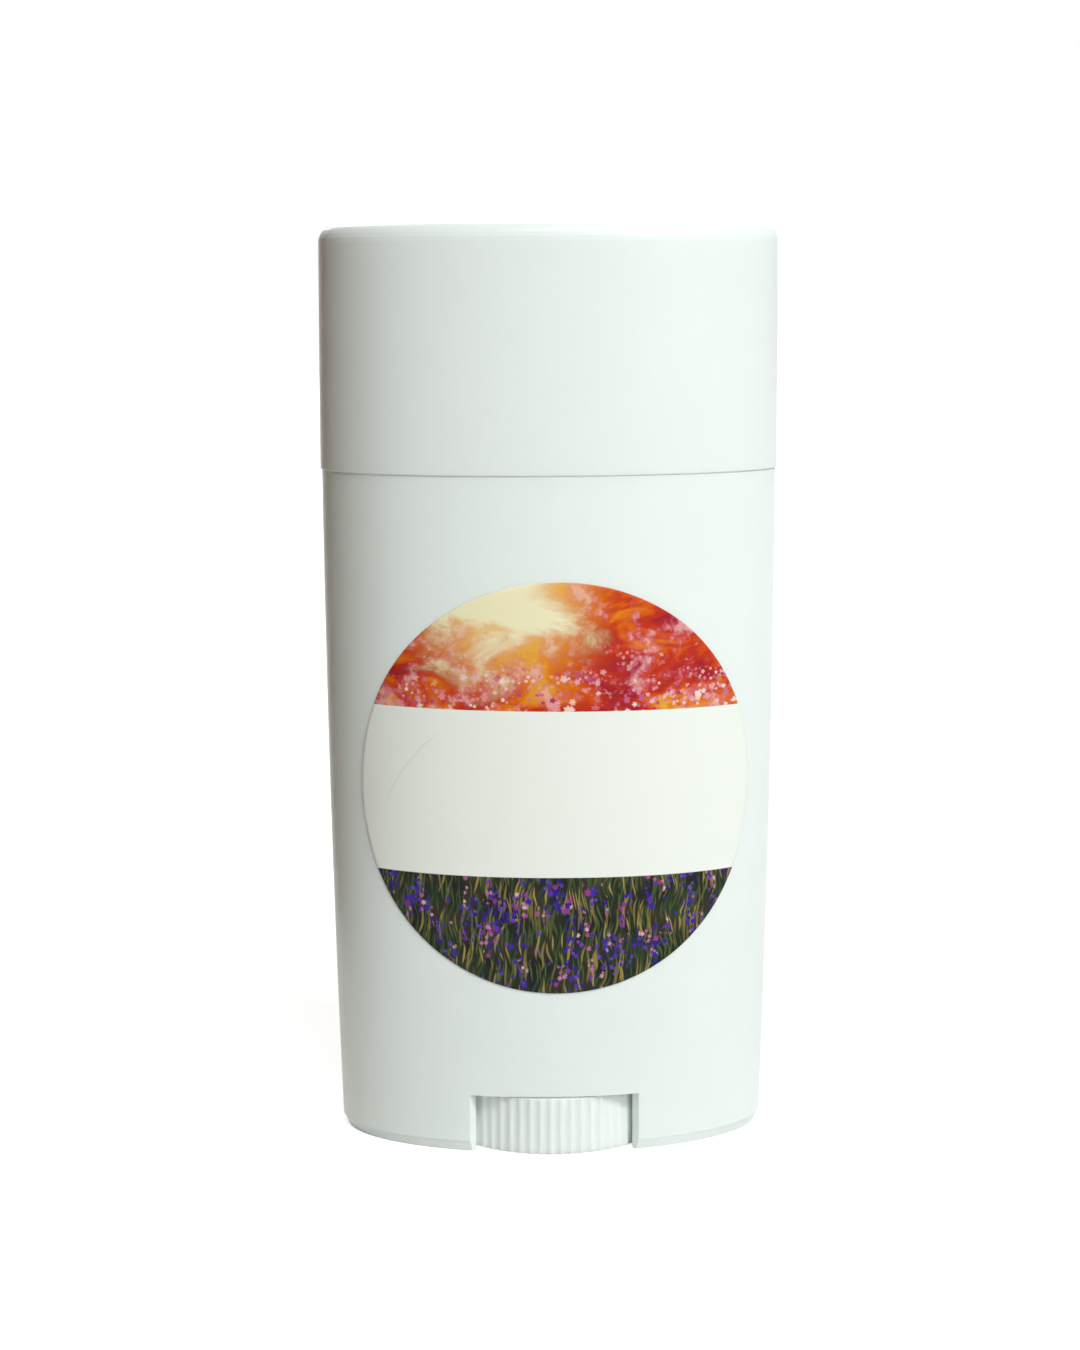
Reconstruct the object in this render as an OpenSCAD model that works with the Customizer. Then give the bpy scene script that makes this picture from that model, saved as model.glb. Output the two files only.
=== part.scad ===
// Twist-up deodorant stick in an oval polypropylene pack, cap on, standing on its foot.
// Millimetres. Origin at the middle of the foot, +Z up, the label and one wheel window face -Y.

/* [Overall] */
// Width of the cap across its open edge
cap_w = 61; // [56:0.5:68]
// Depth of the cap from front to back across its open edge
cap_d = 32; // [30:0.5:37]
// Height from the foot to the top of the cap
total_h = 122.3; // [100:0.1:140]
// Height of the seam between barrel and cap, as a share of the total height
seam_share = 0.7392; // [0.68:0.0001:0.78]

/* [Cap] */
// Wall of the cap
cap_wall = 1.15; // [0.9:0.05:1.5]
// Thickness of the cap's roof
cap_roof = 1.3; // [0.9:0.05:2]
// How much narrower each side of the cap is at the top than at its open edge
cap_draft = 0.26; // [0:0.02:0.6]
// Radius of the cap's top edge
cap_edge_r = 2.2; // [1:0.1:4]
// Radius inside the cap, between wall and roof
cap_inner_r = 1.2; // [0.5:0.1:2.5]
// Small round on the outside of the cap's rim
rim_round = 0.2; // [0.1:0.05:0.4]

/* [Barrel] */
// How far the barrel stands back from the cap's edge at the seam
seam_step = 0.22; // [0.1:0.02:0.5]
// How much narrower each side of the barrel is at the foot than at the seam
foot_taper = 1.45; // [0.6:0.05:2]
// Wall of the barrel's skirt below the deck
skirt_wall = 1.5; // [1.1:0.05:1.8]
// Height of the bevelled band round the foot
band_h = 1.4; // [0.8:0.1:2.2]
// How far the band's lower edge stands in
band_in = 0.55; // [0.2:0.05:0.8]
// Fine step at the upper edge of the band
band_step = 0.1; // [0.04:0.02:0.2]
// Small round on the barrel's edges, at the foot and at the seam
edge_round = 0.18; // [0.08:0.02:0.3]
// Thickness of the deck that carries the wheel and its screw
deck_t = 1.4; // [1:0.1:2.2]

/* [Collar] */
// Height of the collar that the cap slides over
collar_h = 7.6; // [5:0.1:10]
// Wall of the collar at its mouth
collar_wall = 1.2; // [0.9:0.05:1.6]
// Gap between collar and cap on each side
cap_gap = 0.2; // [0.1:0.02:0.3]
// Height of the snap bead above the seam
bead_up = 4; // [2.5:0.1:4.6]
// Half the height of the snap bead
bead_half = 0.5; // [0.3:0.05:0.8]
// Gap between the crest of the snap bead and the cap
bead_gap = 0.05; // [0.02:0.01:0.08]
// Chamfer round the collar's mouth, which leads the cap on
lead_in = 0.2; // [0.1:0.05:0.5]
// Draft of the bore on each side, over the whole height of the bore
bore_draft = 0.4; // [0.1:0.05:0.8]

/* [Wheel window] */
// Width of the window at the front and the back of the foot
window_w = 21; // [19:0.5:22]
// Height of the window
window_h = 7.9; // [6.8:0.1:10]
// Width of the bevel along the window's edges
window_bevel = 0.75; // [0.4:0.05:1]

/* [Thumbwheel] */
// How far the wheel's ridges stand out of the middle of each window
wheel_out = 0.65; // [0.3:0.05:1]
// Gap round the wheel where it passes the edges of the windows
pocket_gap = 0.2; // [0.15:0.05:0.4]
// Number of flutes round the wheel
flutes = 72; // [48:2:80]
// Radius of the cutter that makes one flute
flute_r = 0.9; // [0.75:0.05:1.2]
// Depth of a flute
flute_depth = 0.2; // [0.1:0.02:0.3]
// Angle by which the wheel stands turned at rest
wheel_turn = 0.6; // [-2.5:0.1:2.5]
// Gap between wheel and deck, and between its snap ring and the deck
wheel_gap = 0.15; // [0.08:0.01:0.3]
// Height of the wheel's lower face above the ground
wheel_lift = 0.2; // [0.1:0.05:0.6]
// Wall of the wheel's rim
wheel_rim = 1.7; // [1.2:0.1:2.5]
// Thickness of the wheel's web
wheel_web = 1.4; // [1:0.1:2]
// Outer radius of the wheel's hub
hub_r = 6.4; // [5.9:0.1:7.5]
// Bore that cores out the hub from below
hub_core_r = 2.4; // [1.5:0.1:2.8]
// Number of ribs under the web
wheel_ribs = 6; // [4:1:8]
// Thickness of those ribs
wheel_rib_t = 1; // [0.7:0.1:1.4]

/* [Screw] */
// Radius of the journal that turns in the deck
journal_r = 5; // [4.7:0.1:5.4]
// Running clearance of the journal in the deck
journal_gap = 0.06; // [0.03:0.01:0.1]
// How far the snap ring reaches past the hole in the deck
snap_lip = 0.4; // [0.25:0.05:0.6]
// Height of the snap ring
snap_h = 1.8; // [1.2:0.1:2.4]
// Radius of the screw over its thread
screw_r = 4.3; // [3.8:0.1:4.6]
// Depth of the screw's thread
thread_depth = 1.2; // [0.8:0.1:1.6]
// How far the bar rises in one turn of the wheel
lead = 6; // [5:0.5:8]
// How far the screw's tip stands above the seam
screw_up = 1.6; // [0.5:0.1:3]
// Height of the plain pilot at the screw's tip
pilot_h = 1; // [0.5:0.1:2]

/* [Carriage] */
// Thickness of the carriage's floor
floor_t = 1.2; // [0.9:0.1:1.8]
// Height of the floor above the deck
floor_up = 2.6; // [2.6:0.1:4]
// Height of the skirt that seals against the bore
skirt_h = 11; // [8:0.5:15]
// Wall of that skirt
skirt_t = 0.9; // [0.7:0.05:1.3]
// Gap between skirt and bore
slide_gap = 0.15; // [0.1:0.01:0.25]
// Gap between skirt and deck with the carriage right down
rest_gap = 0.05; // [0.02:0.01:0.1]
// Outer radius of the nut
nut_r = 6.6; // [6:0.1:7.5]
// Height of the nut above the floor
nut_h = 12; // [9:0.5:16]
// Gap between nut and screw
nut_gap = 0.25; // [0.15:0.05:0.35]
// Number of tines that hold the bar on each side of the nut
tines = 3; // [2:1:4]
// Distance between the tines
tine_pitch = 5; // [4:0.1:5.4]
// Radius of a tine
tine_r = 0.9; // [0.7:0.05:1.2]
// Height of the tines above the floor
tine_h = 7; // [5:0.5:9]

/* [Bar] */
// Gap between the bar and the bore
bar_gap = 0.3; // [0.2:0.05:0.5]
// How far the bar's edge lies below the collar's mouth
edge_down = 0.6; // [0.2:0.1:2]
// Height of the bar's crown above its edge
crown_h = 5.1; // [3:0.1:6]
// Fit between the bar and the carriage that it is cast on
cast_gap = 0.05; // [0.02:0.01:0.1]

/* [Label] */
// Diameter of the round label
label_d = 54.6; // [44:0.2:58]
// Height of the label's middle, as a share of the seam's height
label_share = 0.5475; // [0.5:0.0005:0.6]
// How far the label sits off the middle, along the wall
label_off = 0.6; // [-1:0.1:1]
// Thickness of the label
label_t = 0.12; // [0.08:0.01:0.2]
// Film of adhesive between label and wall
label_glue = 0.03; // [0.02:0.01:0.05]

/* [Hidden] */

oval_fn = 120;
round_fn = 48;
arc_steps = 6;
wall_steps = 12;
label_steps = 5;
wrap_steps = 45;
label_sides = 60;
screw_sides = 14;
nut_sides = 18;
over = 1;

half_w = cap_w / 2;
half_d = cap_d / 2;
seam_z = total_h * seam_share;
cap_h = total_h - seam_z;
seam_half = half_w - seam_step;
mouth_z = seam_z + collar_h;
deck_z = window_h;
deck_top = deck_z + deck_t;

// Half-widths inside the cap and round the collar and the bore
cap_in_half = half_w - cap_wall;
collar_inset = cap_wall + cap_gap;
collar_half = half_w - collar_inset;
bore_inset = collar_inset + collar_wall;
bore_top_half = half_w - bore_inset;
bead_z = seam_z + bead_up;
bead_crest = cap_inner_half(bead_z) - bead_gap;

// The skirt below the deck follows the barrel's foot, and the wheel just stands out of its front and back
skirt_inset = half_w - barrel_half(0) + skirt_wall;
wheel_r = oval_y(0, barrel_half(deck_z), 0) + wheel_out;

// The screw and what runs on it
screw_top = seam_z + screw_up;
hole_r = journal_r + journal_gap;
pilot_r = screw_r - 1.3 * thread_depth;
snap_z = deck_top + wheel_gap;
floor_z = deck_top + floor_up;
floor_top = floor_z + floor_t;
nut_top = floor_top + nut_h;
carriage_half = bore_half(deck_top) - slide_gap;
carriage_inset = half_w - carriage_half;
carriage_z = deck_top + rest_gap;

bar_edge_z = mouth_z - edge_down;

// Side of the barrel at a height: nearly upright at the seam and drawn in towards the foot
function barrel_half(z) = seam_half - foot_taper * pow(1 - z / seam_z, 2);

// Side of the cap's inner wall at a height
function cap_inner_half(z) = cap_in_half - cap_draft * (z - seam_z) / cap_h;

// Side of the bore at a height, widest at the mouth
function bore_half(z) = bore_top_half - bore_draft * (mouth_z - z) / (mouth_z - deck_top);

// Depth over width of the oval that lies this far inside the cap's edge
function oval_ratio(inset) = (half_d - inset) / (half_w - inset);

// Front or back of an oval of a given half-width, at a distance x from its middle
function oval_y(x, half, inset) = oval_ratio(inset) * sqrt(half * half - x * x);

// Points of an arc, both ends included
function arc_points(x, z, r, from, to) =
    [for (i = [0 : arc_steps]) let (t = from + (to - from) * i / arc_steps) [x + r * cos(t), z + r * sin(t)]];

// Solid with an oval plan: a half-profile is turned round the axis and pressed to the oval's depth,
// a quarter at a time
module oval_solid(profile, inset, quarters = [0, 90, 180, 270]) {
    for (quarter = quarters)
        scale([1, oval_ratio(inset), 1])
            rotate([0, 0, quarter])
                rotate_extrude(angle = 90, $fn = oval_fn)
                    polygon(profile);
}

// How far round the front of the wall each of a run of points lies from the middle, and its x
label_z = seam_z * label_share;
label_half = barrel_half(label_z);
wrap_x = [for (i = [0 : wrap_steps]) label_half * sin(90 * i / wrap_steps)];
wrap_y = [for (x = wrap_x) oval_y(x, label_half, 0)];
function wrap_len(i) =
    i == 0 ? 0 : wrap_len(i - 1) + norm([wrap_x[i] - wrap_x[i - 1], wrap_y[i] - wrap_y[i - 1]]);
wrap_table = [for (i = [0 : wrap_steps]) [wrap_len(i), wrap_x[i]]];

// Place across the front of a point that lies this far round the wall from the middle
function front_x(along) = sign(along) * lookup(abs(along), wrap_table);

module barrel_wall() {
    wall_top = seam_z - edge_round;
    foot_half = barrel_half(0) - band_in;
    wall = [for (i = [0 : wall_steps - 1]) let (z = band_h + (wall_top - band_h) * i / wall_steps)
        [barrel_half(z), z]];
    oval_solid(concat(
        [[0, 0]],
        arc_points(foot_half - edge_round, edge_round, edge_round, -90, 0),
        [[barrel_half(band_h) - band_step, band_h]],
        wall,
        arc_points(barrel_half(wall_top) - edge_round, wall_top, edge_round, 0, 90),
        [[0, seam_z]]
    ), 0);
}

module collar_solid() {
    oval_solid([
        [0, seam_z - over],
        [collar_half, seam_z - over],
        [collar_half, bead_z - bead_half],
        [bead_crest, bead_z],
        [collar_half, bead_z + bead_half],
        [collar_half, mouth_z - lead_in],
        [collar_half - lead_in, mouth_z],
        [0, mouth_z]
    ], collar_inset);
}

module bore_cut() {
    oval_solid([
        [0, deck_top],
        [bore_half(deck_top), deck_top],
        [bore_half(mouth_z), mouth_z],
        [bore_half(mouth_z), mouth_z + over],
        [0, mouth_z + over]
    ], bore_inset);
}

module skirt_cut() {
    skirt_half = half_w - skirt_inset;
    oval_solid([[0, -over], [skirt_half, -over], [skirt_half, deck_z], [0, deck_z]], skirt_inset);
}

// Window in plan: straight sides through the wall, opened by a bevel at the outer face
module window_plan() {
    side = window_w / 2;
    bevelled = side + window_bevel;
    bevel_y = oval_y(bevelled, barrel_half(0), 0);
    straight_y = bevel_y - window_bevel;
    polygon([
        [-side, 0], [side, 0], [side, straight_y], [bevelled, bevel_y],
        [bevelled, half_d + over], [-bevelled, half_d + over], [-bevelled, bevel_y], [-side, straight_y]
    ]);
}

module window_cut() {
    for (turn = [0, 180])
        rotate([0, 0, turn])
            translate([0, 0, -over])
                linear_extrude(window_h + over)
                    window_plan();
}

module barrel() {
    color([0.94, 0.96, 0.95])
        difference() {
            union() {
                barrel_wall();
                collar_solid();
            }
            bore_cut();
            skirt_cut();
            translate([0, 0, -over])
                cylinder(h = deck_z + over, r = wheel_r + pocket_gap, $fn = 2 * round_fn);
            window_cut();
            translate([0, 0, deck_z - over])
                cylinder(h = deck_t + 2 * over, r = hole_r, $fn = round_fn);
        }
}

module cap() {
    top_half = half_w - cap_draft;
    roof_z = total_h - cap_roof;
    inner_top = cap_inner_half(roof_z);
    outer = concat(
        [[0, seam_z]],
        arc_points(half_w - rim_round, seam_z + rim_round, rim_round, -90, 0),
        arc_points(top_half - cap_edge_r, total_h - cap_edge_r, cap_edge_r, 0, 90),
        [[0, total_h]]
    );
    inner = concat(
        [[0, seam_z - over], [cap_in_half, seam_z - over], [cap_in_half, seam_z]],
        arc_points(inner_top - cap_inner_r, roof_z - cap_inner_r, cap_inner_r, 0, 90),
        [[0, roof_z]]
    );
    color([0.96, 0.98, 0.97])
        difference() {
            oval_solid(outer, 0);
            oval_solid(inner, cap_wall);
        }
}

module wheel_plan() {
    difference() {
        circle(r = wheel_r, $fn = 2 * flutes);
        for (i = [0 : flutes - 1])
            rotate([0, 0, wheel_turn + i * 360 / flutes])
                translate([wheel_r + flute_r - flute_depth, 0])
                    circle(r = flute_r, $fn = round_fn / 2);
    }
}

module thumbwheel_screw() {
    wheel_top = deck_z - wheel_gap;
    web_z = wheel_top - wheel_web;
    color([0.95, 0.97, 0.96]) {
        difference() {
            translate([0, 0, wheel_lift])
                linear_extrude(wheel_top - wheel_lift)
                    wheel_plan();
            difference() {
                translate([0, 0, wheel_lift - over])
                    cylinder(h = web_z - wheel_lift + over, r = wheel_r - wheel_rim, $fn = 2 * round_fn);
                cylinder(h = wheel_top, r = hub_r, $fn = round_fn);
                for (i = [0 : wheel_ribs - 1])
                    rotate([0, 0, i * 360 / wheel_ribs])
                        translate([0, -wheel_rib_t / 2, 0])
                            cube([wheel_r, wheel_rib_t, wheel_top]);
            }
            cylinder(h = web_z, r = hub_core_r, $fn = round_fn / 2);
        }
        rotate_extrude($fn = round_fn)
            polygon([
                [0, web_z + wheel_web / 2],
                [journal_r, web_z + wheel_web / 2],
                [journal_r, snap_z],
                [hole_r + snap_lip, snap_z],
                [hole_r, snap_z + snap_h],
                [pilot_r, snap_z + snap_h],
                [pilot_r, screw_top],
                [0, screw_top]
            ]);
        thread(snap_z + snap_h / 2, screw_top - pilot_h, screw_r, screw_sides);
    }
}

// Right-hand thread: an off-centre circle that goes round once in each lead as it rises
module thread(from, to, reach, sides) {
    height = to - from;
    translate([0, 0, from])
        rotate([0, 0, 360 * from / lead])
            linear_extrude(height, twist = -360 * height / lead, slices = ceil(sides * height / lead))
                translate([thread_depth / 2, 0])
                    circle(r = reach - thread_depth / 2, $fn = sides);
}

module carriage() {
    color([0.93, 0.95, 0.94])
        difference() {
            union() {
                difference() {
                    oval_solid([
                        [0, carriage_z],
                        [carriage_half, carriage_z],
                        [carriage_half, carriage_z + skirt_h],
                        [0, carriage_z + skirt_h]
                    ], carriage_inset);
                    oval_solid([
                        [0, floor_top],
                        [carriage_half - skirt_t, floor_top],
                        [carriage_half - skirt_t, carriage_z + skirt_h + over],
                        [0, carriage_z + skirt_h + over]
                    ], carriage_inset + skirt_t);
                    oval_solid([
                        [0, carriage_z - over],
                        [carriage_half - skirt_t, carriage_z - over],
                        [carriage_half - skirt_t, floor_z],
                        [0, floor_z]
                    ], carriage_inset + skirt_t);
                }
                translate([0, 0, floor_z])
                    cylinder(h = floor_t + nut_h, r = nut_r, $fn = round_fn);
                tine_row() cylinder(h = floor_t + tine_h, r = tine_r, $fn = round_fn / 2);
            }
            thread(floor_z - over, nut_top + over, screw_r + nut_gap, nut_sides);
        }
}

// Places its child at each tine on both sides of the nut
module tine_row() {
    for (side = [-1, 1], i = [1 : tines])
        translate([side * (nut_r + i * tine_pitch - tine_pitch / 3), 0, floor_z])
            children();
}

module deodorant_bar() {
    bar_low_half = carriage_half - skirt_t - cast_gap;
    bar_z = floor_top + cast_gap;
    bar_step = carriage_z + skirt_h + cast_gap;
    bar_inset = bore_inset + bar_gap;
    bar_half = bore_half(bar_step) - bar_gap;
    edge_half = bore_half(bar_edge_z) - bar_gap;
    crown = [for (i = [0 : wall_steps]) let (t = 90 * i / wall_steps)
        [edge_half * cos(t), bar_edge_z + crown_h * sin(t)]];
    color([0.97, 0.95, 0.88])
        difference() {
            union() {
                oval_solid([
                    [0, bar_z],
                    [bar_low_half, bar_z],
                    [bar_low_half, bar_step + over],
                    [0, bar_step + over]
                ], carriage_inset + skirt_t + cast_gap);
                oval_solid(concat([[0, bar_step], [bar_half, bar_step]], crown), bar_inset);
            }
            translate([0, 0, bar_z - over])
                cylinder(h = nut_top + cast_gap - bar_z + over, r = nut_r + cast_gap, $fn = round_fn);
            cylinder(h = screw_top + nut_gap, r = screw_r + nut_gap, $fn = round_fn);
            tine_row() cylinder(h = floor_t + tine_h + cast_gap, r = tine_r + cast_gap, $fn = round_fn / 2);
        }
}

// Front half of the barrel's form at a given distance off its wall, as far up and down as the label
module label_form(off) {
    low = label_z - label_d / 2 - over;
    high = label_z + label_d / 2 + over;
    wall = [for (i = [0 : label_steps]) let (z = low + (high - low) * i / label_steps)
        [barrel_half(z) + off, z]];
    oval_solid(concat([[0, low]], wall, [[0, high]]), -off, [180, 270]);
}

// The round label's outline as seen from the front, where its sides are foreshortened by the wall
module label_outline() {
    polygon([for (t = [0 : 360 / label_sides : 359])
        [front_x(label_off + label_d / 2 * cos(t)), label_z + label_d / 2 * sin(t)]]);
}

module label() {
    color([0.9, 0.88, 0.86])
        intersection() {
            difference() {
                label_form(label_glue + label_t);
                label_form(label_glue);
            }
            rotate([90, 0, 0])
                linear_extrude(half_d + over)
                    label_outline();
        }
}

barrel();
cap();
thumbwheel_screw();
carriage();
deodorant_bar();
label();
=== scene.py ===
import math

import bpy
from mathutils import Matrix, Vector


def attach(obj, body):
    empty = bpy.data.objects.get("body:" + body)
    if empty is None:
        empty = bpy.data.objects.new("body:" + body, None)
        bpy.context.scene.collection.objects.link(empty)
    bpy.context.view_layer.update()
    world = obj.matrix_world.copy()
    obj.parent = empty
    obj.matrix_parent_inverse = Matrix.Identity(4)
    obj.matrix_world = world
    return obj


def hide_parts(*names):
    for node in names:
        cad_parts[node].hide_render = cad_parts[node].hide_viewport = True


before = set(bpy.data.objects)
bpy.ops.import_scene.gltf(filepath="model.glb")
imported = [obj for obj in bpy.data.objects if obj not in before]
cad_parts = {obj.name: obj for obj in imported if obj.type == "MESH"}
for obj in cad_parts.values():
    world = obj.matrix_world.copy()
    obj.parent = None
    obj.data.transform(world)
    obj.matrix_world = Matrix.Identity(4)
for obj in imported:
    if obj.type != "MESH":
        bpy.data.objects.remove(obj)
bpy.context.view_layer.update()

# Barrel
# One injection moulding of white polypropylene: an oval tube drawn in towards the foot, with a
# bevelled band and two wheel windows at the foot, and the collar that the cap slides over.

MM = 0.001
WAVE_LONG = 11 * MM
GRAIN_WIDE = 0.4 * MM
LIGHT_SPREAD = 1.5 * MM


def linear(hex_colour):
    """An sRGB hex colour as the linear colour that the shaders take."""
    parts = [int(hex_colour[i:i + 2], 16) / 255 for i in (1, 3, 5)]
    return tuple(c / 12.92 if c <= 0.04045 else ((c + 0.055) / 1.055) ** 2.4 for c in parts) + (1.0,)


def new_material(name):
    """An empty material and its node tree."""
    material = bpy.data.materials.new(name)
    material.use_nodes = True
    material.node_tree.nodes.clear()
    return material, material.node_tree


def add_node(tree, kind, values=None, feeds=None, **settings):
    """Adds a node, sets its settings and input values, and feeds its inputs from other nodes' outputs."""
    made = tree.nodes.new(kind)
    for name, setting in settings.items():
        setattr(made, name, setting)
    for socket, value in (values or {}).items():
        made.inputs[socket].default_value = value
    for socket, source in (feeds or {}).items():
        tree.links.new(source, made.inputs[socket])
    return made


def moulded_polypropylene(name, low, high, roughness, let_in):
    """Injection-moulded polypropylene: a milky white with a soft gloss. A share of the light is let in, and
    comes out again a millimetre or two away, which softens small shadows. The steel of the mould leaves very
    faint waves about a centimetre long, and a fine grain that clouds the reflections a little."""
    material, tree = new_material(name)
    place = add_node(tree, "ShaderNodeTexCoord")
    wave = add_node(tree, "ShaderNodeTexNoise", {"Scale": 1 / WAVE_LONG, "Detail": 1.0},
                    {"Vector": place.outputs["Object"]})
    # Real mould grain is some hundredths of a millimetre wide: it is drawn coarser, so that it shows at all
    grain = add_node(tree, "ShaderNodeTexNoise", {"Scale": 1 / GRAIN_WIDE, "Detail": 2.0},
                     {"Vector": place.outputs["Object"]})
    tint = add_node(tree, "ShaderNodeMix", {"A": linear(low), "B": linear(high)},
                    {"Factor": wave.outputs["Fac"]}, data_type="RGBA")
    gloss = add_node(tree, "ShaderNodeMapRange",
                     {"To Min": roughness - 0.04, "To Max": roughness + 0.04},
                     {"Value": grain.outputs["Fac"]})
    soft_wave = add_node(tree, "ShaderNodeBump", {"Strength": 0.05, "Distance": 0.05 * MM},
                         {"Height": wave.outputs["Fac"]})
    fine = add_node(tree, "ShaderNodeBump", {"Strength": 0.02, "Distance": 0.005 * MM},
                    {"Height": grain.outputs["Fac"], "Normal": soft_wave.outputs["Normal"]})
    shader = add_node(tree, "ShaderNodeBsdfPrincipled",
                      {"IOR": 1.49, "Subsurface Weight": let_in, "Subsurface Scale": LIGHT_SPREAD,
                       "Subsurface Radius": (1.0, 1.0, 1.0)},
                      {"Base Color": tint.outputs["Result"], "Roughness": gloss.outputs["Result"],
                       "Normal": fine.outputs["Normal"]})
    add_node(tree, "ShaderNodeOutputMaterial", feeds={"Surface": shader.outputs["BSDF"]})
    return material


barrel_plastic = moulded_polypropylene("moulded_polypropylene_barrel", "#E6EFEB", "#E9F2EE", 0.33, 0.3)
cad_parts["barrel"].material_slots[0].material = barrel_plastic

# Cap
# A thin oval shell of the same white polypropylene, moulded in a better polished tool, so that its roof and
# its rounded top edge shine a little more. It pushes over the collar as far as the barrel's shoulder.

cap_plastic = moulded_polypropylene("moulded_polypropylene_cap", "#E6EFEB", "#E9F2EE", 0.31, 0.3)
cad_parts["cap"].material_slots[0].material = cap_plastic

# Thumbwheel and screw
# One moulding of white polypropylene: the fluted wheel that shows in both windows, with the lead screw
# standing on it. The flutes come from a rougher, eroded part of the mould, so the wheel looks duller, and
# light goes deep into their thin crests.

wheel_plastic = moulded_polypropylene("moulded_polypropylene_wheel", "#E9F2ED", "#EDF6F1", 0.38, 0.85)
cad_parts["thumbwheel_screw"].material_slots[0].material = wheel_plastic

# Carriage
# The platform that the screw lifts, with the nut and the tines that hold the bar. It is moulded in natural
# polypropylene, a shade creamier and duller than the pack.

carriage_plastic = moulded_polypropylene("moulded_polypropylene_carriage", "#E4E8E0", "#EAEEE6", 0.42, 0.2)
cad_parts["carriage"].material_slots[0].material = carriage_plastic

# Deodorant bar
# A stick of wax and butters, poured hot into the barrel and set there. Its domed end is smooth where it
# set against a former, creamy, and a little see-through at its thin edges.

STREAK_LONG, PINHOLES_APART = 8 * MM, 2.6 * MM

wax, tree = new_material("poured_wax")
place = add_node(tree, "ShaderNodeTexCoord")
# Streaks where the pour cooled in folds, and pinholes of trapped air about half a millimetre wide
streak = add_node(tree, "ShaderNodeTexNoise", {"Scale": 1 / STREAK_LONG, "Detail": 3.0, "Distortion": 1.2},
                  {"Vector": place.outputs["Object"]})
creamy = add_node(tree, "ShaderNodeMix", {"A": linear("#EAE2CB"), "B": linear("#F1EBDA")},
                  {"Factor": streak.outputs["Fac"]}, data_type="RGBA")
air = add_node(tree, "ShaderNodeTexVoronoi", {"Scale": 1 / PINHOLES_APART},
               {"Vector": place.outputs["Object"]})
pinhole = add_node(tree, "ShaderNodeMapRange", {"From Min": 0.05, "From Max": 0.12},
                   {"Value": air.outputs["Distance"]}, interpolation_type="SMOOTHSTEP")
bloom = add_node(tree, "ShaderNodeMapRange", {"To Min": 0.42, "To Max": 0.58},
                 {"Value": streak.outputs["Fac"]})
folds = add_node(tree, "ShaderNodeBump", {"Strength": 0.25, "Distance": 0.2 * MM},
                 {"Height": streak.outputs["Fac"]})
pits = add_node(tree, "ShaderNodeBump", {"Strength": 0.5, "Distance": 0.12 * MM},
                {"Height": pinhole.outputs["Result"], "Normal": folds.outputs["Normal"]})
shader = add_node(tree, "ShaderNodeBsdfPrincipled",
                  {"IOR": 1.44, "Subsurface Weight": 0.2, "Subsurface Scale": 2 * MM,
                   "Subsurface Radius": (1.0, 0.7, 0.45)},
                  {"Base Color": creamy.outputs["Result"], "Roughness": bloom.outputs["Result"],
                   "Normal": pits.outputs["Normal"]})
add_node(tree, "ShaderNodeOutputMaterial", feeds={"Surface": shader.outputs["BSDF"]})
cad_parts["deodorant_bar"].material_slots[0].material = wax

# Label
# A round sticker of white plastic film, printed with a warm evening sky over a dark green meadow, with a bare
# white band between them. It is stuck to the front of the barrel and wraps round its curve.

# Millimetres: the film's width, thickness and glue, its middle's height and place to the right, then the oval
# of the cap and the taper of the barrel
LABEL_D, LABEL_T, LABEL_GLUE = 54.6, 0.12, 0.028
LABEL_Z, LABEL_OFF = 49.495, 0.6
CAP_HALF_W, CAP_HALF_D = 30.5, 16.0
SEAM_Z, SEAM_HALF, FOOT_TAPER = 90.404, 30.28, 1.45
# The way round the front is walked in fine steps, and the place reached is kept at each coarse one
WRAP_FINE, WRAP_STEP, WRAP_COUNT = 0.05, 0.5, 60
RINGS, SPOKES = 60, 240


def barrel_half(z):
    """Half the barrel's width at a height, in millimetres, as in the moulding."""
    return SEAM_HALF - FOOT_TAPER * (1 - z / SEAM_Z) ** 2


def front_of_barrel(x, z, off):
    """Front of the barrel at a place, this far off its wall."""
    ratio = (CAP_HALF_D + off) / (CAP_HALF_W + off)
    return -ratio * math.sqrt(max((barrel_half(z) + off) ** 2 - x * x, 0))


def wrap(along, z):
    """The x that lies a given distance round the front of the barrel from its middle."""
    half = barrel_half(z)
    x, gone = 0.0, 0.0
    while gone < abs(along):
        slope = CAP_HALF_D / CAP_HALF_W * x / math.sqrt(half * half - x * x)
        x += WRAP_FINE / math.hypot(1, slope)
        gone += WRAP_FINE
    return math.copysign(x, along)


wrap_steps = [wrap(i * WRAP_STEP, LABEL_Z) for i in range(WRAP_COUNT)]


def wrapped_x(along):
    """Reads the wrap from its steps."""
    place = abs(along) / WRAP_STEP
    i = int(place)
    return math.copysign(wrap_steps[i] + (wrap_steps[i + 1] - wrap_steps[i]) * (place - i), along)


# The film's cut edge, from the wall outwards: how far in from the rim, and how high off the glue
rim_profile = [(0.0, 0.0), (0.02, 0.035), (0.05, LABEL_T - 0.02), (0.08, LABEL_T)]
points, print_places, faces = [], [], []


def label_point(radius, angle, off):
    """Adds a point of the film, and its place in the print from 0 to 1 each way."""
    along, rise = radius * math.cos(angle), radius * math.sin(angle)
    x = wrapped_x(LABEL_OFF + along)
    z = LABEL_Z + rise
    points.append((x * MM, front_of_barrel(x, z, off) * MM, z * MM))
    print_places.append((0.5 + along / LABEL_D, 0.5 + rise / LABEL_D))


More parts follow.
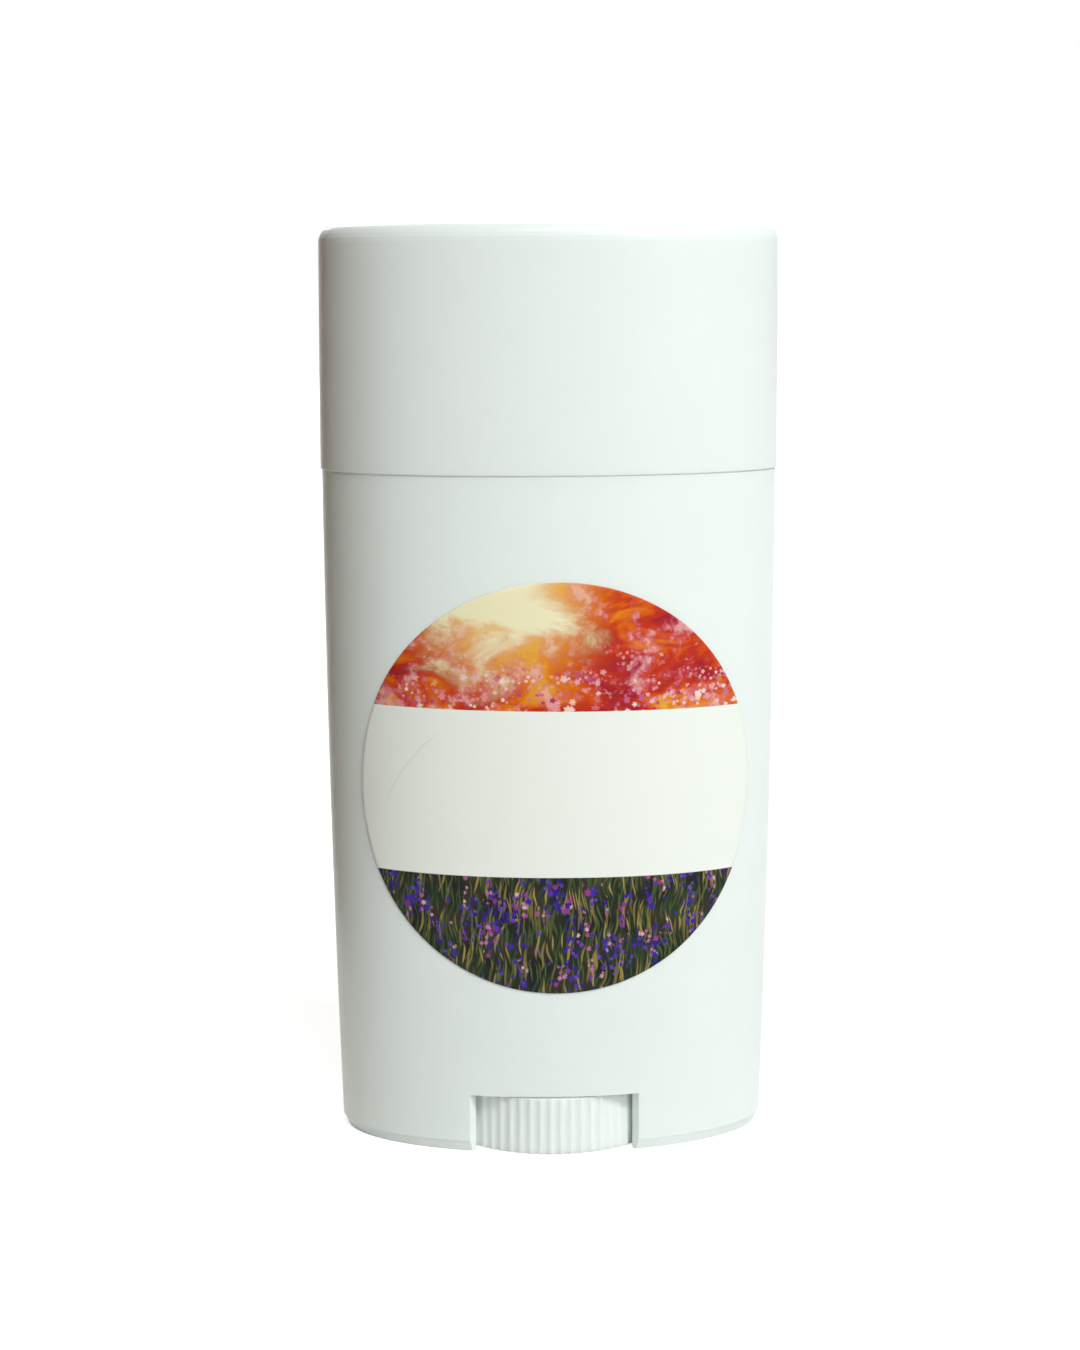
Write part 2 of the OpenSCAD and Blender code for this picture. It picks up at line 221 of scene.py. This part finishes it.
label_point(0, 0, LABEL_GLUE + LABEL_T)
radii = [LABEL_D / 2 - inward for inward, rise in rim_profile]
heights = [LABEL_GLUE + rise for inward, rise in rim_profile]
inner = radii[-1]
radii += [inner * (1 - k / RINGS) for k in range(1, RINGS)]
heights += [LABEL_GLUE + LABEL_T] * (RINGS - 1)
for radius, off in zip(radii, heights):
    for k in range(SPOKES):
        label_point(radius, 2 * math.pi * k / SPOKES, off)
rows = len(radii)
for r in range(rows - 1):
    for k in range(SPOKES):
        a, b = 1 + r * SPOKES + k, 1 + r * SPOKES + (k + 1) % SPOKES
        faces.append((a, b, b + SPOKES, a + SPOKES))
last = 1 + (rows - 1) * SPOKES
faces += [(last + k, last + (k + 1) % SPOKES, 0) for k in range(SPOKES)]
mesh = bpy.data.meshes.new("label_film")
mesh.from_pydata(points, [], faces)
layer = mesh.uv_layers.new(name="print")
for loop in mesh.loops:
    layer.data[loop.index].uv = print_places[loop.vertex_index]
mesh.shade_smooth()
label = bpy.data.objects.new("label_film", mesh)
scene = bpy.context.scene
scene.collection.objects.link(label)

# Printed gloss film: inks on white film under a clear lacquer. Its reflections are broad and weak, so the
# inks stay deep. The print is drawn in millimetres from the middle of the label
PRINT_TURN = math.radians(0.6)
SKY_FOOT, MEADOW_TOP, PRINT_EDGE = 10.5, -11.6, 0.04

film, tree = new_material("printed_gloss_film")
places = add_node(tree, "ShaderNodeUVMap", uv_map="print")
place = add_node(tree, "ShaderNodeMapping",
                 {"Location": (-LABEL_D / 2, -LABEL_D / 2, 0), "Scale": (LABEL_D, LABEL_D, 1)},
                 {"Vector": places.outputs["UV"]})
# The sticker was put on with its print turned a little clockwise
turned = add_node(tree, "ShaderNodeVectorRotate", {"Angle": PRINT_TURN}, {"Vector": place.outputs["Vector"]},
                  rotation_type="Z_AXIS")
mm = turned.outputs["Vector"]
split = add_node(tree, "ShaderNodeSeparateXYZ", feeds={"Vector": mm})
height = split.outputs["Y"]


def ink(below, stops, pick, share):
    """Prints inks over what is below them, by a share from 0 to 1. A value picks among the inks."""
    ramp = add_node(tree, "ShaderNodeValToRGB", feeds={"Fac": pick})
    line = ramp.color_ramp
    while len(line.elements) < len(stops):
        line.elements.new(0.5)
    for element, (place_on, colour) in zip(line.elements, stops):
        element.position = place_on
        element.color = linear(colour)
    if below is None:
        return ramp.outputs["Color"]
    laid = add_node(tree, "ShaderNodeMix", feeds={"Factor": share, "A": below, "B": ramp.outputs["Color"]},
                    data_type="RGBA")
    return laid.outputs["Result"]


def blossoms(below, cell, petals, reach, seed, cover, bands, clump, stops):
    """Prints round blossoms, one to a cell of a given width. Their petals reach a share of it. They stand in
    clumps of a given width and height, where a slow noise is above its cover. The four heights in bands say
    where they fade in and out again, and a seed shifts them."""
    # Shares: the waist between petals, the smallest blossom, the soft edge of a blossom and that of a clump
    waist, smallest, petal_edge, clump_edge = 0.72, 0.6, 0.14, 0.03
    moved = add_node(tree, "ShaderNodeVectorMath", {1: (seed, seed * 0.7, 0)}, {0: mm}, operation="ADD")
    small = add_node(tree, "ShaderNodeVectorMath", {"Scale": 1 / cell}, {0: moved.outputs["Vector"]},
                     operation="SCALE")
    cells = add_node(tree, "ShaderNodeTexVoronoi", {"Scale": 1.0, "Randomness": 0.9},
                     {"Vector": small.outputs["Vector"]}, voronoi_dimensions="2D")
    arm = add_node(tree, "ShaderNodeVectorMath", operation="SUBTRACT",
                   feeds={0: small.outputs["Vector"], 1: cells.outputs["Position"]})
    arm_xy = add_node(tree, "ShaderNodeSeparateXYZ", feeds={"Vector": arm.outputs["Vector"]})
    angle = add_node(tree, "ShaderNodeMath", feeds={0: arm_xy.outputs["Y"], 1: arm_xy.outputs["X"]},
                     operation="ARCTAN2")
    # Chance gives each blossom its own turn, size and ink
    whole_turn = 6.28
    chance = add_node(tree, "ShaderNodeSeparateColor", feeds={"Color": cells.outputs["Color"]})
    spin = add_node(tree, "ShaderNodeMath", {1: whole_turn}, {0: chance.outputs["Red"]}, operation="MULTIPLY")
    lobes = add_node(tree, "ShaderNodeMath", {1: petals}, {0: angle.outputs[0], 2: spin.outputs[0]},
                     operation="MULTIPLY_ADD")
    wave = add_node(tree, "ShaderNodeMath", feeds={0: lobes.outputs[0]}, operation="COSINE")
    outline = add_node(tree, "ShaderNodeMapRange",
                       {"From Min": -1.0, "To Min": reach * waist, "To Max": reach},
                       {"Value": wave.outputs[0]})
    size = add_node(tree, "ShaderNodeMapRange", {"To Min": smallest, "To Max": 1.0},
                    {"Value": chance.outputs["Green"]})
    edge = add_node(tree, "ShaderNodeMath", feeds={0: outline.outputs[0], 1: size.outputs[0]},
                    operation="MULTIPLY")
    inside = add_node(tree, "ShaderNodeMath", feeds={0: edge.outputs[0], 1: cells.outputs["Distance"]},
                      operation="SUBTRACT")
    body = add_node(tree, "ShaderNodeMapRange", {"From Min": 0.0, "From Max": petal_edge},
                    {"Value": inside.outputs[0]})
    spread = add_node(tree, "ShaderNodeVectorMath", {1: (1 / clump[0], 1 / clump[1], 0)},
                      {0: moved.outputs["Vector"]}, operation="MULTIPLY")
    drift = add_node(tree, "ShaderNodeTexNoise", {"Scale": 1.0, "Detail": 2.0},
                     {"Vector": spread.outputs["Vector"]}, noise_dimensions="2D")
    where = add_node(tree, "ShaderNodeMapRange",
                     {"From Min": cover - clump_edge, "From Max": cover + clump_edge},
                     {"Value": drift.outputs["Fac"]})
    low = add_node(tree, "ShaderNodeMapRange", {"From Min": bands[0], "From Max": bands[1]},
                   {"Value": height})
    high = add_node(tree, "ShaderNodeMapRange", {"From Min": bands[3], "From Max": bands[2]},
                    {"Value": height})
    both = add_node(tree, "ShaderNodeMath", feeds={0: low.outputs[0], 1: high.outputs[0]},
                    operation="MULTIPLY")
    grown = add_node(tree, "ShaderNodeMath", feeds={0: where.outputs[0], 1: both.outputs[0]},
                     operation="MULTIPLY")
    share = add_node(tree, "ShaderNodeMath", feeds={0: body.outputs[0], 1: grown.outputs[0]},
                     operation="MULTIPLY")
    return ink(below, stops, chance.outputs["Blue"], share.outputs[0])


def leaf_blades(below, width, length, lean, seed, reach, stops):
    """Prints slim leaf blades of a given width and length, one to a stretched cell. They lean by an angle in
    degrees, sway a little and reach a share of the cell. A seed shifts them."""
    sway_long, sway, blade_edge = 5, 1.6, 0.12
    spun = add_node(tree, "ShaderNodeVectorRotate", {"Angle": math.radians(lean), "Center": (seed, seed, 0)},
                    {"Vector": mm}, rotation_type="Z_AXIS")
    bent = add_node(tree, "ShaderNodeTexNoise", {"Scale": 1 / sway_long, "Detail": 1.0}, {"Vector": mm},
                    noise_dimensions="2D")
    bend = add_node(tree, "ShaderNodeVectorMath", {1: (sway, 0, 0)},
                    {0: bent.outputs["Fac"], 2: spun.outputs["Vector"]}, operation="MULTIPLY_ADD")
    shrunk = add_node(tree, "ShaderNodeVectorMath", {1: (1 / width, 1 / length, 0)},
                      {0: bend.outputs["Vector"]}, operation="MULTIPLY")
    cells = add_node(tree, "ShaderNodeTexVoronoi", {"Scale": 1.0, "Randomness": 1.0},
                     {"Vector": shrunk.outputs["Vector"]}, voronoi_dimensions="2D")
    chance = add_node(tree, "ShaderNodeSeparateColor", feeds={"Color": cells.outputs["Color"]})
    share = add_node(tree, "ShaderNodeMapRange", {"From Min": reach, "From Max": reach - blade_edge},
                     {"Value": cells.outputs["Distance"]})
    return ink(below, stops, chance.outputs["Green"], share.outputs[0])


# Evening sky: drifts of crimson, orange and gold, with clouds of pink and a pale glow high up on the left.
# The drifts add up to GLOW_RAGGED to the distance from the glow's middle, which tears its edge
DRIFT_W, DRIFT_H, MIST_WIDE = 11, 6, 4.5
GLOW_MIDDLE, GLOW_RAGGED = (-7.5, 26.0, 0), 22.0
GLOW_FULL, GLOW_GONE = 16.0, 25.5

flow = add_node(tree, "ShaderNodeVectorMath", {1: (1 / DRIFT_W, 1 / DRIFT_H, 0)}, {0: mm},
                operation="MULTIPLY")
drifts = add_node(tree, "ShaderNodeTexNoise",
                  {"Scale": 1.0, "Detail": 5.0, "Roughness": 0.6, "Distortion": 0.5},
                  {"Vector": flow.outputs["Vector"]}, noise_dimensions="2D")
sky = ink(None, [(0.34, "#9E1A24"), (0.43, "#BC2E10"), (0.5, "#CE5208"), (0.58, "#DC7C12"),
                 (0.68, "#E6A83C")], drifts.outputs["Fac"], None)
mist = add_node(tree, "ShaderNodeTexNoise", {"Scale": 1 / MIST_WIDE, "Detail": 4.0, "Roughness": 0.65},
                {"Vector": mm}, noise_dimensions="2D")
clouded = add_node(tree, "ShaderNodeMapRange", {"From Min": 0.52, "From Max": 0.68, "To Max": 0.7},
                   {"Value": mist.outputs["Fac"]})
sky = ink(sky, [(0.5, "#B8305C"), (0.58, "#D0647E"), (0.66, "#E6B0AC")], mist.outputs["Fac"],
          clouded.outputs[0])
from_glow = add_node(tree, "ShaderNodeVectorMath", {1: GLOW_MIDDLE}, {0: mm}, operation="DISTANCE")
ragged = add_node(tree, "ShaderNodeMath", {1: GLOW_RAGGED},
                  {0: drifts.outputs["Fac"], 2: from_glow.outputs["Value"]}, operation="MULTIPLY_ADD")
halo = add_node(tree, "ShaderNodeMapRange", {"From Min": GLOW_GONE, "From Max": GLOW_FULL},
                {"Value": ragged.outputs[0]}, interpolation_type="SMOOTHSTEP")
sky = ink(sky, [(0.0, "#E6AA44"), (1.0, "#F0EAC2")], halo.outputs[0], halo.outputs[0])
# Four sizes of pink and cream blossoms along the foot of the sky. A row gives the cell, petals, reach, seed
# and cover, then the heights, the clump and the inks
for row in (
        (0.8, 5, 0.5, 11.0, 0.55,
         (9, 11, 14, 21), (7, 3), [(0.0, "#C84E68"), (0.5, "#E09CA0"), (1.0, "#F0DCD0")]),
        (0.95, 5, 0.5, 71.0, 0.56,
         (9, 10, 13, 19), (5, 3), [(0.0, "#B02C60"), (0.5, "#CC6484"), (1.0, "#E2A0A0")]),
        (1.3, 5, 0.52, 23.0, 0.55,
         (9, 10, 13, 18), (6, 3), [(0.0, "#B8346A"), (0.5, "#DC8E9C"), (1.0, "#F2E0D8")]),
        (1.7, 6, 0.5, 37.0, 0.54,
         (9, 10, 12, 15), (5, 3), [(0.0, "#C83E5C"), (0.5, "#E29A94"), (1.0, "#EED2B4")])):
    sky = blossoms(sky, *row)

# Meadow: dark green shade, slim blades of grass, and violet blossoms in upright clumps. A row of blades gives
# the width, length, lean, seed, reach and inks
SHADE_WIDE = 5
IN_GRASS = (-40, -39, -11, -10)

shade = add_node(tree, "ShaderNodeTexNoise", {"Scale": 1 / SHADE_WIDE, "Detail": 4.0}, {"Vector": mm},
                 noise_dimensions="2D")
meadow = ink(None, [(0.35, "#10140C"), (0.5, "#1C2415"), (0.62, "#30281A"), (0.75, "#1E3520")],
             shade.outputs["Fac"], None)
for row in ((0.6, 7.0, 11, 3.0, 0.34, [(0.0, "#1D3A20"), (0.5, "#465229"), (1.0, "#9A8448")]),
            (0.5, 6.0, -9, 9.0, 0.27, [(0.0, "#28482A"), (0.5, "#566034"), (1.0, "#A48E52")]),
            (0.55, 8.0, 2, 15.0, 0.3, [(0.0, "#1A331D"), (0.5, "#3A4824"), (1.0, "#7C6E3C")])):
    meadow = leaf_blades(meadow, *row)
for row in (
        (0.8, 5, 0.56, 51.0, 0.57,
         IN_GRASS, (2.6, 5.5), [(0.0, "#241458"), (0.5, "#3A2094"), (1.0, "#6A48AC")]),
        (1.25, 5, 0.54, 67.0, 0.6,
         IN_GRASS, (2.4, 5.0), [(0.0, "#241880"), (0.6, "#4428A4"), (1.0, "#9A3A88")]),
        (0.95, 6, 0.48, 83.0, 0.63,
         IN_GRASS, (2.2, 4.0), [(0.0, "#942A74"), (0.5, "#B47098"), (1.0, "#DCB6B4")])):
    meadow = blossoms(meadow, *row)

# The sky ends and the meadow begins with a sharp edge, and the bare film shows between them
in_sky = add_node(tree, "ShaderNodeMapRange",
                  {"From Min": SKY_FOOT - PRINT_EDGE, "From Max": SKY_FOOT + PRINT_EDGE}, {"Value": height})
in_meadow = add_node(tree, "ShaderNodeMapRange",
                     {"From Min": MEADOW_TOP + PRINT_EDGE, "From Max": MEADOW_TOP - PRINT_EDGE},
                     {"Value": height})
bare_film = linear("#EDF3EB")
printed = add_node(tree, "ShaderNodeMix", {"A": bare_film}, {"Factor": in_sky.outputs[0], "B": sky},
                   data_type="RGBA")
printed = add_node(tree, "ShaderNodeMix", data_type="RGBA",
                   feeds={"Factor": in_meadow.outputs[0], "A": printed.outputs["Result"], "B": meadow})

# A faint crease runs up the upper left of the film in one long bend, where it was pressed on. Its fold is
# painted a little greyer, as painted shade, and given a small ridge. It fades in between two places across and
# two up
CREASE_MIDDLE, CREASE_R = (1.06, -13.42, 0), 26.85
CREASE_HALF_W, CREASE_CORE, CREASE_PAINTED_SHADE = 0.14, 0.02, 0.16
CREASE_STARTS_X, CREASE_FULL_X = -15.5, -17.5
CREASE_STARTS_Z, CREASE_FULL_Z = -4.0, 1.0

from_bend = add_node(tree, "ShaderNodeVectorMath", {1: CREASE_MIDDLE}, {0: place.outputs["Vector"]},
                     operation="DISTANCE")
off_crease = add_node(tree, "ShaderNodeMath", {1: CREASE_R}, {0: from_bend.outputs["Value"]},
                      operation="SUBTRACT")
off_crease = add_node(tree, "ShaderNodeMath", feeds={0: off_crease.outputs[0]}, operation="ABSOLUTE")
crease = add_node(tree, "ShaderNodeMapRange", {"From Min": CREASE_HALF_W, "From Max": CREASE_CORE},
                  {"Value": off_crease.outputs[0]}, interpolation_type="SMOOTHSTEP")
on_left = add_node(tree, "ShaderNodeMapRange", {"From Min": CREASE_STARTS_X, "From Max": CREASE_FULL_X},
                   {"Value": split.outputs["X"]})
high_up = add_node(tree, "ShaderNodeMapRange", {"From Min": CREASE_STARTS_Z, "From Max": CREASE_FULL_Z},
                   {"Value": height})
creased = add_node(tree, "ShaderNodeMath", feeds={0: crease.outputs[0], 1: on_left.outputs[0]},
                   operation="MULTIPLY")
creased = add_node(tree, "ShaderNodeMath", feeds={0: creased.outputs[0], 1: high_up.outputs[0]},
                   operation="MULTIPLY")
# Painted shade: the print is darkened towards grey along the crease, where the fold would lie in shadow
shadowed = add_node(tree, "ShaderNodeMath", {1: CREASE_PAINTED_SHADE}, {0: creased.outputs[0]}, operation="MULTIPLY")
shade_painted_print = add_node(tree, "ShaderNodeMix", {"B": linear("#8C928C")},
                {"Factor": shadowed.outputs[0], "A": printed.outputs["Result"]}, data_type="RGBA")
ridge = add_node(tree, "ShaderNodeBump", {"Strength": 0.3, "Distance": 0.05 * MM},
                 {"Height": creased.outputs[0]})
shader = add_node(tree, "ShaderNodeBsdfPrincipled",
                  {"IOR": 1.5, "Roughness": 0.38, "Specular IOR Level": 0.15},
                  {"Base Color": shade_painted_print.outputs["Result"], "Normal": ridge.outputs["Normal"]})
add_node(tree, "ShaderNodeOutputMaterial", feeds={"Surface": shader.outputs["BSDF"]})
mesh.materials.append(film)
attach(label, "case")
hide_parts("label")

# Studio
# A white paper sweep under soft lamps: the key stands to the right of the camera and high above it, a second
# one below the key, and one behind. A brown card close on the left reflects in that side and darkens it.

# How white the paper and the room look in reflections, and how much light the room itself gives
GLOSS_SEEN, ROOM_LIGHT = 0.85, 0.02
# Metres, and degrees round from the front
FLOOR_SIZE, NEAR, FAR, NEAR_GLOW = 12, 0.12, 0.5, 0.77
LAMPS_AIM = Vector((0, 0, 0.06))
CARD_W, CARD_H, CARD_AWAY, CARD_Z, CARD_SIDE = 0.17, 0.26, 0.11, 0.132, -96

scene.view_settings.view_transform = "Standard"


def shown(tree):
    """How much of its own white the paper or the room shows: all to the camera and through clear pieces, and
    a little less in reflections. None of it lights the stick."""
    ray = add_node(tree, "ShaderNodeLightPath")
    mirrored = add_node(tree, "ShaderNodeMath", {1: GLOSS_SEEN}, {0: ray.outputs["Is Glossy Ray"]},
                        operation="MULTIPLY")
    seen = add_node(tree, "ShaderNodeMath", feeds={0: ray.outputs["Is Camera Ray"], 1: mirrored.outputs[0]},
                    operation="MAXIMUM")
    seen = add_node(tree, "ShaderNodeMath", operation="MAXIMUM",
                    feeds={0: seen.outputs[0], 1: ray.outputs["Is Transmission Ray"]})
    return seen.outputs[0]


bpy.ops.mesh.primitive_plane_add(size=FLOOR_SIZE)
floor = bpy.context.object
floor.name = "floor"
paper, tree = new_material("white_paper_sweep")
# Near the stick the paper's own white is lower, so that the stick's shadow shows. Far from it, where the lamps
# don't reach, the paper is white by itself
where = add_node(tree, "ShaderNodeNewGeometry")
away = add_node(tree, "ShaderNodeVectorMath", feeds={0: where.outputs["Position"]}, operation="LENGTH")
glow = add_node(tree, "ShaderNodeMapRange",
                {"From Min": NEAR, "From Max": FAR, "To Min": NEAR_GLOW, "To Max": 1.0},
                {"Value": away.outputs["Value"]}, interpolation_type="SMOOTHSTEP")
shine = add_node(tree, "ShaderNodeMath", feeds={0: shown(tree), 1: glow.outputs[0]}, operation="MULTIPLY")
lit = add_node(tree, "ShaderNodeBsdfDiffuse", {"Color": linear("#DEDEDC")})
white = add_node(tree, "ShaderNodeEmission", {"Color": (1, 1, 1, 1)}, {"Strength": shine.outputs[0]})
both = add_node(tree, "ShaderNodeAddShader", feeds={0: lit.outputs["BSDF"], 1: white.outputs["Emission"]})
add_node(tree, "ShaderNodeOutputMaterial", feeds={"Surface": both.outputs["Shader"]})
floor.data.materials.append(paper)

world = bpy.data.worlds.new("studio")
scene.world = world
world.use_nodes = True
tree = world.node_tree
tree.nodes.clear()
level = add_node(tree, "ShaderNodeMapRange", {"To Min": ROOM_LIGHT, "To Max": 1.0}, {"Value": shown(tree)})
room = add_node(tree, "ShaderNodeBackground", {"Color": (1, 1, 1, 1)}, {"Strength": level.outputs[0]})
add_node(tree, "ShaderNodeOutputWorld", feeds={"Surface": room.outputs["Background"]})


def facing(azimuth, elevation):
    """Direction from the stick. Azimuth 0 is the front and 90 the right-hand side."""
    a, e = math.radians(azimuth), math.radians(elevation)
    return Vector((math.sin(a) * math.cos(e), -math.cos(a) * math.cos(e), math.sin(e)))


# Degrees round and up, metres away, across and tall, and watts
for name, azimuth, elevation, distance, width, tall, power in (
        ("key_lamp", 30, 52, 2.2, 1.2, 0.35, 40.8),
        ("low_lamp", 34, 22, 2.2, 1.4, 1.0, 11.8),
        ("back_lamp", 180, 35, 2.2, 1.6, 1.6, 19.0)):
    light = bpy.data.lights.new(name, "AREA")
    light.shape = "RECTANGLE"
    light.size = width
    light.size_y = tall
    light.energy = power
    lamp = bpy.data.objects.new(name, light)
    lamp.location = LAMPS_AIM + facing(azimuth, elevation) * distance
    lamp.rotation_mode = "QUATERNION"
    lamp.rotation_quaternion = facing(azimuth, elevation).to_track_quat("Z", "Y")
    scene.collection.objects.link(lamp)

bpy.ops.mesh.primitive_plane_add(size=1)
card = bpy.context.object
card.name = "dark_card"
card.scale = (CARD_W, CARD_H, 1)
card.location = facing(CARD_SIDE, 0) * CARD_AWAY + Vector((0, 0, CARD_Z))
card.rotation_mode = "QUATERNION"
card.rotation_quaternion = facing(CARD_SIDE, 0).to_track_quat("Z", "Y")
brown, tree = new_material("brown_card")
soak = add_node(tree, "ShaderNodeBsdfDiffuse", {"Color": linear("#6C4A2A")})
add_node(tree, "ShaderNodeOutputMaterial", feeds={"Surface": soak.outputs["BSDF"]})
card.data.materials.append(brown)
card.visible_camera = False
card.visible_shadow = False

# Camera
# It looks at the front from slightly above, with its turn, tilt, roll and lens fitted to the outline, the
# seam, the label and the foot in the photograph.

EYE_BACK, EYE_HEIGHT = 333.12 * MM, 115.446 * MM
YAW, TILT, ROLL = (math.radians(angle) for angle in (-1.536, 9.069, -0.232))
FOCAL_PX, MIDDLE_X = 2489.99, 549.91
FRAME_W, FRAME_H = 1080, 1350

level_right = Vector((math.cos(YAW), math.sin(YAW), 0))
level_ahead = Vector((-math.sin(YAW), math.cos(YAW), 0))
ahead = level_ahead * math.cos(TILT) - Vector((0, 0, 1)) * math.sin(TILT)
level_up = Vector((0, 0, 1)) * math.cos(TILT) + level_ahead * math.sin(TILT)
right = level_right * math.cos(ROLL) + level_up * math.sin(ROLL)
up = level_up * math.cos(ROLL) - level_right * math.sin(ROLL)

lens = bpy.data.cameras.new("camera")
lens.sensor_width = 36
lens.lens = FOCAL_PX * lens.sensor_width / FRAME_H
lens.shift_x = (FRAME_W / 2 - MIDDLE_X) / FRAME_H
lens.clip_start = 0.01
camera = bpy.data.objects.new("camera", lens)
turn = Matrix((right, up, -ahead)).transposed().to_4x4()
camera.matrix_world = Matrix.Translation(-level_ahead * EYE_BACK + Vector((0, 0, EYE_HEIGHT))) @ turn
scene.collection.objects.link(camera)
scene.camera = camera
